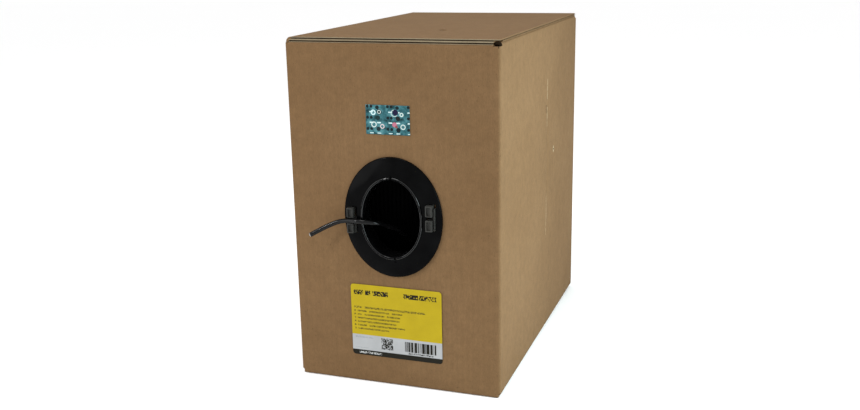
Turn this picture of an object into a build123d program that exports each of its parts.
from build123d import *
import math
import os

# Cable spool box: a full-overlap corrugated carton with a reel of cable turning on a fixed axle
# inside it. The cable leaves through an oval outlet in the narrow front panel and its free end is
# held by a spring clip on the outlet's bezel.
#
# Frame: millimetres, +Z up, origin at the middle of the carton's underside. The front panel, with
# the outlet, faces -Y. The reel's axle runs along X.

# ---- carton -------------------------------------------------------------------------------------
carton_w = 250.0            # outside, along X
carton_d = 405.0            # outside, along Y
carton_h = 406.0            # outside, along Z
board = 3.0                 # corrugated board thickness
fold_r = 3.0                # outside radius of an upright fold
fold_in_r = 0.6             # inside radius of the same fold
flap_inset = 1.0            # the cut edges of the two full flaps stand this far inside the folds
slot_gap = 0.5              # between an inner flap and the walls that it tucks between
minor_flap_len = 190.0      # front and back flaps at the top, from fold to cut edge
seam_gap = 1.5              # between the two bottom flaps of each layer
end_seam_y = 14.0           # the two outer bottom flaps meet this far behind the middle
lap_w = 35.0                # glue lap of the maker's joint
lap_end_cut = 6.0           # the lap is shorter than its wall by this at each end

# ---- outlet in the front panel ------------------------------------------------------------------
outlet_above_mid = 2.5      # outlet centre above the carton's mid height
throat_a = 34.5             # half width of the clear opening
throat_b = 45.0             # half height of the clear opening
throat_wall = 3.0
flange_side = 21.5          # flange outside the lip, left and right
flange_ends = 22.0          # flange outside the lip, top and bottom
flange_slope = 1.2          # the dome starts this far inside the flat rim
hole_clear = 0.8            # board hole round the throat
rim_t = 1.6                 # flat edge of the bezel on the board
lip_h = 8.5                 # top of the throat's lip above the board
shell_t = 2.0               # moulded wall of the domed flange
throat_in = 14.0            # throat length behind the board
ring_w = 12.0               # backing ring, width of its band
ring_t = 2.5
ring_clear = 0.10           # backing ring bore round the throat

# ---- spring clips on the bezel ------------------------------------------------------------------
clip_off_lip = 9.8          # clip centres outside the lip
clip_z_left = -4.1
clip_z_right = 4.5
clip_w = 10.0               # along X
clip_h = 30.0               # along Z
clip_tip = 12.0             # jaw tips above the board
clip_base_t = 1.0           # foot plate that joins the two jaws under the flange
clip_foot = 0.6             # foot plate past the window edge, at each end
window_clear = 0.3          # flange window round the jaws
clip_slope_y = 5.0          # each jaw slopes off from its tip to its outer end
clip_slope_z = 7.0
clip_room = 1.2             # gap between the jaws, past the cable's diameter

# ---- cable --------------------------------------------------------------------------------------
cable_d = 5.4
cable_len = 305000.0        # on the reel when full
wind_fill = 0.90            # room one turn takes in the winding, in squares of the diameter
wind_end_gap = 0.2          # between the winding and each flange

# ---- reel ---------------------------------------------------------------------------------------
reel_clear = 15.5           # reel flange to the folded flaps above and below
flange_t = 4.0
core_d = 150.0
core_wall = 4.0
reel_side_gap = 5.0         # flange face to the side support
plug_t = 8.0                # core plug inside the core
plug_clear = 0.10           # round the plug in the core
plug_rib = 12.0             # plug rim and hub ring width
spigot_wall = 9.0           # hub spigot round the axle
spigot_out = 2.0            # spigot past the flange face
rod_d = 6.0
rod_circle_r = 56.0
rod_count = 4
rod_clear = 0.4             # rod holes, on the radius
nut_fit = 0.05              # nut bore round the rod, on the radius
nut_t = 2.6
nut_d = 13.0

# ---- axle and its supports ----------------------------------------------------------------------
axle_d = 42.0
axle_wall = 3.0
axle_run = 0.08             # running clearance of the hub on the axle, on the radius
axle_seat = 0.10            # axle in the board supports, on the radius
cap_t = 2.0                 # head of an axle cap
cap_d = 54.0
cap_plug = 14.0             # length of the cap's plug inside the axle
cap_wall = 2.0
support_t = 5.0             # double-wall board
support_w = 300.0           # along Y
support_top_gap = 1.0       # under the folded top flaps

# ---- paper on the front panel -------------------------------------------------------------------
label_w = 112.0
label_h = 88.0
label_drop = 0.33           # share of the bare panel under the bezel that lies above the label
label_t = 0.2
label_r = 3.5
seal_w = 52.0
seal_h = 33.0
seal_x = -3.4
seal_rise = 0.34            # share of the bare panel above the bezel that lies under the seal's middle
seal_t = 0.15
seal_r = 0.8

# The free cable, from the winding to its cut end: points (x, y, z) from the outlet's centre on the
# panel's face, y into the carton. It rises from the winding's underside, passes the throat, goes
# round the lip, through the left clip and out into the air.
cable_route = [
    (14.0, 101.5, -95.8),
    (11.0, 75.0, -66.2),
    (5.0, 50.0, -41.2),
    (-4.0, 26.0, -22.0),
    (-14.0, 4.0, -10.0),
    (-25.5, -10.4, -4.8),
    (-38.0, -14.2, -3.7),
    (-50.0, -10.8, -4.0),
    (-62.5, -9.8, -6.2),
    (-74.5, -12.0, -11.2),
    (-86.0, -15.4, -17.2),
    (-95.3, -19.0, -22.4),
]
arc_share = 0.45            # share of the shorter run that an arc may use

# ---- what follows from these --------------------------------------------------------------------
half_w = carton_w / 2
half_d = carton_d / 2
inner_w = half_w - board    # inside faces of the side walls
inner_d = half_d - board    # inside faces of the front and back walls
floor_z = 2 * board         # top of the folded bottom flaps
roof_z = carton_h - 3 * board       # underside of the folded top flaps
front_y = -half_d
outlet_z = carton_h / 2 + outlet_above_mid
lip_a = throat_a + throat_wall      # half width of the lip
lip_b = throat_b + throat_wall
bezel_a = lip_a + flange_side       # half width of the bezel
bezel_b = lip_b + flange_ends
clip_x = lip_a + clip_off_lip
spool_z = (floor_z + roof_z) / 2
reel_d = min(roof_z - floor_z, 2 * inner_d) - 2 * reel_clear
support_in = inner_w - cap_t - support_t        # inner face of a side support
reel_half = support_in - reel_side_gap          # outer face of a reel flange
traverse = 2 * (reel_half - flange_t)           # between the flanges
wind_d = math.sqrt(core_d**2 + 4 * cable_len * cable_d**2 * wind_fill / (math.pi * traverse))

os.makedirs("parts", exist_ok=True)


def save(name, shape):
    """Write one node; several loose solids go in as one compound."""
    solids = shape.solids()
    whole = solids[0] if len(solids) == 1 else Compound(children=list(solids))
    whole.label = name
    export_step(whole, f"parts/{name}.step")


def block(x0, x1, y0, y1, z0, z1):
    """A box between two corners."""
    middle = ((x0 + x1) / 2, (y0 + y1) / 2, (z0 + z1) / 2)
    return Pos(*middle) * Box(x1 - x0, y1 - y0, z1 - z0)


def disc_x(r, x0, x1, z=None, y=0.0):
    """A round bar along X, on the reel's axis unless told otherwise."""
    z = spool_z if z is None else z
    return Pos((x0 + x1) / 2, y, z) * Rot(0, 90, 0) * Cylinder(r, x1 - x0)


def outlet_plane(depth):
    """The plane across the outlet at a depth into the carton; its local Y is up."""
    return Plane(origin=(0, front_y + depth, outlet_z), x_dir=(1, 0, 0), z_dir=(0, -1, 0))


def oval(a, b, depth0, depth1):
    """A straight oval bar through the outlet, between two depths."""
    face = outlet_plane(depth1) * Ellipse(a, b)
    return extrude(face, amount=depth1 - depth0, dir=(0, -1, 0))


def oval_stack(rings):
    """A body through oval rings, each (half width, half height, depth)."""
    faces = [outlet_plane(depth) * Ellipse(a, b) for a, b, depth in rings]
    body = None
    for lower, upper in zip(faces, faces[1:]):
        step = loft([lower, upper], ruled=True)
        body = step if body is None else body + step
    return body


# ---- carton walls -------------------------------------------------------------------------------
def wall(side, z0, z1):
    """One wall of the scored sleeve, mitred through the middle of its two upright folds."""
    outside = RectangleRounded(carton_w, carton_d, fold_r)
    inside = RectangleRounded(carton_w - 2 * board, carton_d - 2 * board, fold_in_r)
    sleeve = Pos(0, 0, z0) * extrude(outside - inside, amount=z1 - z0)
    reach = 4 * board
    x, y = half_w, half_d
    corners = {
        "front": [(-x, -y), (x, -y), (x - reach, reach - y), (reach - x, reach - y)],
        "right": [(x, -y), (x, y), (x - reach, y - reach), (x - reach, reach - y)],
        "back": [(x, y), (-x, y), (reach - x, y - reach), (x - reach, y - reach)],
        "left": [(-x, y), (-x, -y), (reach - x, reach - y), (reach - x, y - reach)],
    }[side]
    wedge = Pos(0, 0, z0) * extrude(make_face(Polyline(corners, close=True)), amount=z1 - z0)
    return sleeve & wedge


def front_panel():
    """Front wall with the oval hole that the throat passes."""
    panel = wall("front", board, roof_z)
    return panel - oval(lip_a + hole_clear, lip_b + hole_clear, -board, 2 * board)


def glue_lap():
    """The back wall's lap, glued to the inside of the left wall."""
    z0, z1 = floor_z + lap_end_cut, roof_z - lap_end_cut
    return block(-inner_w, board - inner_w, inner_d - lap_w, inner_d - fold_in_r, z0, z1)


def full_flap(hinge_side, z0):
    """A top flap as wide as the carton; hinge_side is -1 for the left fold and 1 for the right."""
    fold, edge = hinge_side * half_w, -hinge_side * (half_w - flap_inset)
    if hinge_side > 0:
        edge = -(inner_w - slot_gap)
    y = half_d - flap_inset
    return block(min(fold, edge), max(fold, edge), -y, y, z0, z0 + board)


def minor_flap(end, z0):
    """A front (-1) or back (1) top flap, tucked between the side walls."""
    x = inner_w - slot_gap
    y0, y1 = sorted((end * half_d, end * (half_d - minor_flap_len)))
    return block(-x, x, y0, y1, z0, z0 + board)


def bottom_end_flap(end):
    """A front (-1) or back (1) bottom flap: the outer layer, which the carton stands on."""
    x = half_w - flap_inset
    y0, y1 = sorted((end * half_d, end_seam_y + end * seam_gap / 2))
    return block(-x, x, y0, y1, 0, board)


def bottom_side_flap(side):
    """A left (-1) or right (1) bottom flap: the inner layer, which the reel's supports stand on."""
    y = inner_d - slot_gap
    x0, x1 = sorted((side * half_w, side * seam_gap / 2))
    return block(x0, x1, -y, y, board, 2 * board)


# ---- outlet -------------------------------------------------------------------------------------
def clip_window(x, z):
    """The flange window that one clip's jaws stand in."""
    w = clip_w / 2 + window_clear
    h = clip_h / 2 + window_clear
    return block(x - w, x + w, front_y - lip_h, front_y - 0.01, z - h, z + h)


def outlet_bezel():
    """One moulding: flat rim, domed flange, lip and the throat that passes the board."""
    rise = lip_h - rim_t

    def dome(inset, drop, foot):
        wide_a, wide_b = bezel_a - inset, bezel_b - inset
        steps = [(0.0, foot), (0.22, rim_t + 0.42 * rise), (0.62, rim_t + 0.74 * rise)]
        steps.append((1.0, rim_t + 0.84 * rise))
        rings = []
        for share, height in steps:
            a = wide_a + (lip_a - wide_a) * share
            b = wide_b + (lip_b - wide_b) * share
            rings.append((a, b, -(height - drop)))
        return oval_stack(rings)

    body = oval(bezel_a, bezel_b, -rim_t, 0) + dome(flange_slope, 0.0, rim_t)
    body = body - dome(flange_slope + shell_t, shell_t, shell_t)
    body = body + oval(lip_a, lip_b, -lip_h, board + throat_in)
    body = body - oval(throat_a, throat_b, -2 * lip_h, board + 2 * throat_in)
    for x, z in ((-clip_x, clip_z_left), (clip_x, clip_z_right)):
        body = body - clip_window(x, outlet_z + z)
    return body


def outlet_backing_ring():
    """Flat ring pushed over the throat from inside, which clamps the board to the bezel."""
    bore_a, bore_b = lip_a + ring_clear, lip_b + ring_clear
    ring = oval(bore_a + ring_w, bore_b + ring_w, board, board + ring_t)
    return ring - oval(bore_a, bore_b, 0, board + 2 * ring_t)


def cable_clip(x, z):
    """A moulded spring clip: a foot plate under the flange and two jaws through its window."""
    z += outlet_z
    w = clip_w / 2
    h = clip_h / 2
    foot_y = front_y - clip_base_t
    foot = block(x - w, x + w, foot_y, front_y, z - h - clip_foot, z + h + clip_foot)
    jaws = block(x - w, x + w, front_y - clip_tip, foot_y, z - h, z + h)
    gap = (cable_d + clip_room) / 2
    jaws = jaws - block(x - clip_w, x + clip_w, front_y - 2 * clip_tip, foot_y, z - gap, z + gap)
    for side in (-1, 1):
        tip = [
            (front_y - clip_tip, z + side * (h - clip_slope_z)),
            (front_y - clip_tip, z + side * h),
            (front_y - clip_tip + clip_slope_y, z + side * h),
        ]
        profile = make_face(Polyline([(0, y, zz) for y, zz in tip], close=True))
        jaws = jaws - Pos(x - clip_w, 0, 0) * extrude(profile, amount=2 * clip_w, dir=(1, 0, 0))
    return foot + jaws


# ---- reel ---------------------------------------------------------------------------------------
def rod_places():
    """Places of the tie rods, as (y, z)."""
    turns = [math.radians(45 + 360 / rod_count * i) for i in range(rod_count)]
    return [(rod_circle_r * math.cos(t), spool_z + rod_circle_r * math.sin(t)) for t in turns]


def rod_holes(x0, x1):
    """Clearance bars for the tie rods between two stations."""
    bars = [disc_x(rod_d / 2 + rod_clear, x0, x1, z, y) for y, z in rod_places()]
    return bars[0] + bars[1:]


def hub_r():
    """Outside radius of the hub spigot."""
    return axle_d / 2 + spigot_wall


def spool_flange(side):
    """Board disc; its middle hole seats on the hub spigot."""
    x0, x1 = sorted((side * reel_half, side * (reel_half - flange_t)))
    disc = disc_x(reel_d / 2, x0, x1) - disc_x(hub_r() + plug_clear, x0 - 1, x1 + 1)
    return disc - rod_holes(x0 - 1, x1 + 1)


def spool_core():
    """Fibre tube between the flanges that the cable is wound on."""
    x = traverse / 2
    return disc_x(core_d / 2, -x, x) - disc_x(core_d / 2 - core_wall, -x - 1, x + 1)


def core_plug(side):
    """Moulded plug in the core's end: rim, web, and the hub that turns on the axle."""
    r = core_d / 2 - core_wall - plug_clear
    face = side * traverse / 2
    inner = face - side * plug_t
    x0, x1 = sorted((face, inner))
    plug = disc_x(r, x0, x1)
    web = sorted((face - side * plug_t / 2, inner - side * 1.0))
    dish = disc_x(r - plug_rib / 3, *web) - disc_x(hub_r() + plug_rib / 3, *web)
    for y, z in rod_places():
        dish = dish - disc_x(rod_d, web[0], web[1], z, y)
    plug = plug - dish
    out = sorted((face, side * (reel_half + spigot_out)))
    plug = plug + disc_x(hub_r(), *out)
    plug = plug - disc_x(axle_d / 2 + axle_run, -carton_w, carton_w)
    return plug - rod_holes(x0 - 1, x1 + 1)


def tie_rods():
    """Rods that pull the two flanges on to the core."""
    x = reel_half + nut_t
    return [disc_x(rod_d / 2, -x, x, z, y) for y, z in rod_places()]


def tie_nuts():
    """A flat nut on each end of each rod."""
    nuts = []
    for side in (-1, 1):
        for y, z in rod_places():
            hexagon = extrude(RegularPolygon(nut_d / 2, 6), amount=nut_t)
            nut = Pos(side * reel_half, y, z) * Rot(0, 90 * side, 0) * hexagon
            nuts.append(nut - disc_x(rod_d / 2 + nut_fit, -carton_w, carton_w, z, y))
    return nuts


def wound_cable():
    """The winding, as one solid ring between the flanges."""
    x = traverse / 2 - wind_end_gap
    return disc_x(wind_d / 2, -x, x) - disc_x(core_d / 2, -x - 1, x + 1)


# ---- axle and supports --------------------------------------------------------------------------
def axle_tube():
    """Fibre tube across the carton, held by the two board supports."""
    x = support_in + support_t
    return disc_x(axle_d / 2, -x, x) - disc_x(axle_d / 2 - axle_wall, -x - 1, x + 1)


def axle_cap(side):
    """Plug in the axle's end; its head lies between the support and the carton's wall."""
    x = support_in + support_t
    bore = axle_d / 2 - axle_wall - plug_clear
    head = disc_x(cap_d / 2, *sorted((side * x, side * (x + cap_t))))
    stem = disc_x(bore, *sorted((side * (x - cap_plug), side * x)))
    hollow = disc_x(bore - cap_wall, *sorted((side * (x - cap_plug - 1), side * x)))
    return head + (stem - hollow)


def side_support(side):
    """Double-wall board that stands on the bottom flaps and carries one end of the axle."""
    x0, x1 = sorted((side * support_in, side * (support_in + support_t)))
    y = support_w / 2
    plate = block(x0, x1, -y, y, floor_z, roof_z - support_top_gap)
    return plate - disc_x(axle_d / 2 + axle_seat, x0 - 1, x1 + 1)


# ---- paper --------------------------------------------------------------------------------------
def paper(x, z, w, h, r, t):
    """A rounded sheet on the front panel."""
    plane = Plane(origin=(x, front_y, z), x_dir=(1, 0, 0), z_dir=(0, -1, 0))
    return extrude(plane * RectangleRounded(w, h, r), amount=t)


def product_label():
    """Paper label under the outlet."""
    bare = outlet_z - bezel_b - floor_z
    z = outlet_z - bezel_b - label_drop * (bare - label_h) - label_h / 2
    return paper(0, z, label_w, label_h, label_r, label_t)


def seal_sticker():
    """Foil seal above the outlet."""
    low = outlet_z + bezel_b
    z = low + seal_rise * (roof_z - low)
    return paper(seal_x, z, seal_w, seal_h, seal_r, seal_t)


# ---- free cable ---------------------------------------------------------------------------------
def corner_radii(points):
    """The largest arc that each corner's two runs allow."""
    radii = []
    for before, here, after in zip(points, points[1:], points[2:]):
        run_in, run_out = here - before, after - here
        half_turn = math.radians(run_in.get_angle(run_out)) / 2
        radii.append(arc_share * min(run_in.length, run_out.length) / math.tan(half_turn))
    return radii


def cable_tail():
    """The cable from the winding, through the throat and the left clip, to its cut end."""
    points = [Vector(x, front_y + y, outlet_z + z) for x, y, z in cable_route]
    radii = corner_radii(points)
    path = FilletPolyline(*points, radius=radii)
    start = Plane(origin=path @ 0, z_dir=path % 0)
    tube = sweep(start * Circle(cable_d / 2), path=path)
    print("cable radii", [round(r, 1) for r in radii])
    print("cable length", round(path.length, 1), "runs", round(sum(
        (b - a).length for a, b in zip(points, points[1:])), 1))
    print("cable volume", round(tube.volume, 1), "section x length",
          round(math.pi * cable_d**2 / 4 * path.length, 1))
    return tube


parts = {
    "front_panel": front_panel(),
    "right_panel": wall("right", 2 * board, carton_h - 2 * board),
    "back_panel": wall("back", board, roof_z),
    "left_panel": wall("left", 2 * board, carton_h - board),
    "glue_lap": glue_lap(),
    "top_flap_outer": full_flap(-1, carton_h - board),
    "top_flap_inner": full_flap(1, carton_h - 2 * board),
    "top_flap_front": minor_flap(-1, roof_z),
    "top_flap_back": minor_flap(1, roof_z),
    "bottom_flap_front": bottom_end_flap(-1),
    "bottom_flap_back": bottom_end_flap(1),
    "bottom_flap_left": bottom_side_flap(-1),
    "bottom_flap_right": bottom_side_flap(1),
    "outlet_bezel": outlet_bezel(),
    "outlet_backing_ring": outlet_backing_ring(),
    "cable_clip_left": cable_clip(-clip_x, clip_z_left),
    "cable_clip_right": cable_clip(clip_x, clip_z_right),
    "spool_flange_left": spool_flange(-1),
    "spool_flange_right": spool_flange(1),
    "spool_core": spool_core(),
    "core_plug_left": core_plug(-1),
    "core_plug_right": core_plug(1),
    "tie_rods": Compound(children=tie_rods()),
    "tie_nuts": Compound(children=tie_nuts()),
    "wound_cable": wound_cable(),
    "axle_tube": axle_tube(),
    "axle_cap_left": axle_cap(-1),
    "axle_cap_right": axle_cap(1),
    "side_support_left": side_support(-1),
    "side_support_right": side_support(1),
    "product_label": product_label(),
    "seal_sticker": seal_sticker(),
    "cable_tail": cable_tail(),
}
for node, shape in parts.items():
    save(node, shape)
print("reel", round(reel_d, 2), "winding", round(wind_d, 2), "traverse", round(traverse, 2))
